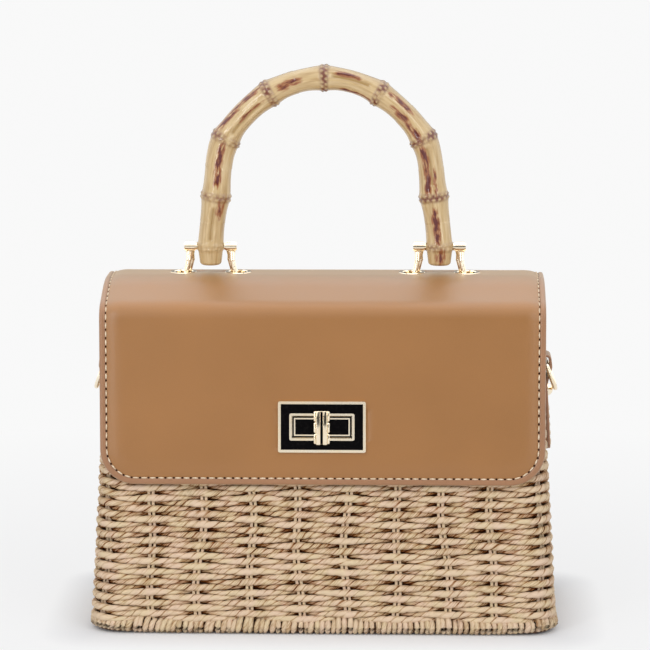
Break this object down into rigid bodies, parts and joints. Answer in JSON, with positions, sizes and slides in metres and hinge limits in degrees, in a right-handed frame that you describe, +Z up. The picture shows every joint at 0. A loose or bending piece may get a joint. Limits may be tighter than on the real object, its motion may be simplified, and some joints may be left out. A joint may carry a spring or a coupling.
{
  "type": "crossbody bag",
  "caption": "Structured woven crossbody bag with a leather flap, a turn lock, an arched bamboo handle and side rings for a strap.",
  "frame": {"origin": "middle of the base, on the floor", "axes": "+Z up, -Y out of the front, +X to the right as seen from the front"},
  "size_m": [0.245, 0.1093, 0.2918],
  "materials": {
    "straw": "matte woven paper rope",
    "leather": "smooth semi-gloss",
    "inner_leather": "matte suede",
    "lining_cloth": "plain cotton",
    "gold": "polished pale gold",
    "bamboo": "lacquered"
  },
  "bodies": {
    "basket": {"woven_basket": "straw", "foot_braid": "straw", "rim_binding": "leather", "lining": "lining_cloth", "back_yoke": "leather", "lock_base": "gold", "lock_back_plate": "gold", "lock_rivets": "gold", "side_tab_left": "leather", "side_tab_right": "leather", "tab_rivet_left": "gold", "tab_rivet_right": "gold"},
    "flap": {"flap_leather": "leather", "flap_backing": "inner_leather", "lock_plate": "gold", "lock_clamp": "gold", "eyelet_left_outer": "gold", "eyelet_left_inner": "gold", "eyelet_right_inner": "gold", "eyelet_right_outer": "gold", "eyelet_washers": "gold", "post_left_outer": "gold", "post_left_inner": "gold", "post_right_inner": "gold", "post_right_outer": "gold", "anchor_plate_left": "gold", "anchor_plate_right": "gold", "post_nuts": "gold", "handle_pin_left": "gold", "handle_pin_right": "gold"},
    "handle": {"bamboo_handle": "bamboo"},
    "toggle": {"lock_toggle": "gold"},
    "left_ring": {"d_ring_left": "gold"},
    "right_ring": {"d_ring_right": "gold"}
  },
  "joints": [
    {"name": "flap_hinge", "type": "hinge", "parent": "basket", "child": "flap", "pos_m": [0, 0.04176, 0.1716], "axis": [-1, 0, 0], "range_deg": [0, 100]},
    {"name": "handle_swing", "type": "hinge", "parent": "flap", "child": "handle", "pos_m": [0, 0, 0.1954], "axis": [1, 0, 0], "range_deg": [-90, 90]},
    {"name": "toggle_turn", "type": "hinge", "parent": "basket", "child": "toggle", "pos_m": [0, -0.04346, 0.109], "axis": [0, -0.9969, 0.0781], "range_deg": [0, 90]},
    {"name": "left_ring_swing", "type": "hinge", "parent": "basket", "child": "left_ring", "pos_m": [-0.11635, 0, 0.13373], "axis": [0, 1, 0], "range_deg": [0, 130]},
    {"name": "right_ring_swing", "type": "hinge", "parent": "basket", "child": "right_ring", "pos_m": [0.11635, 0, 0.13373], "axis": [0, -1, 0], "range_deg": [0, 130]}
  ]
}
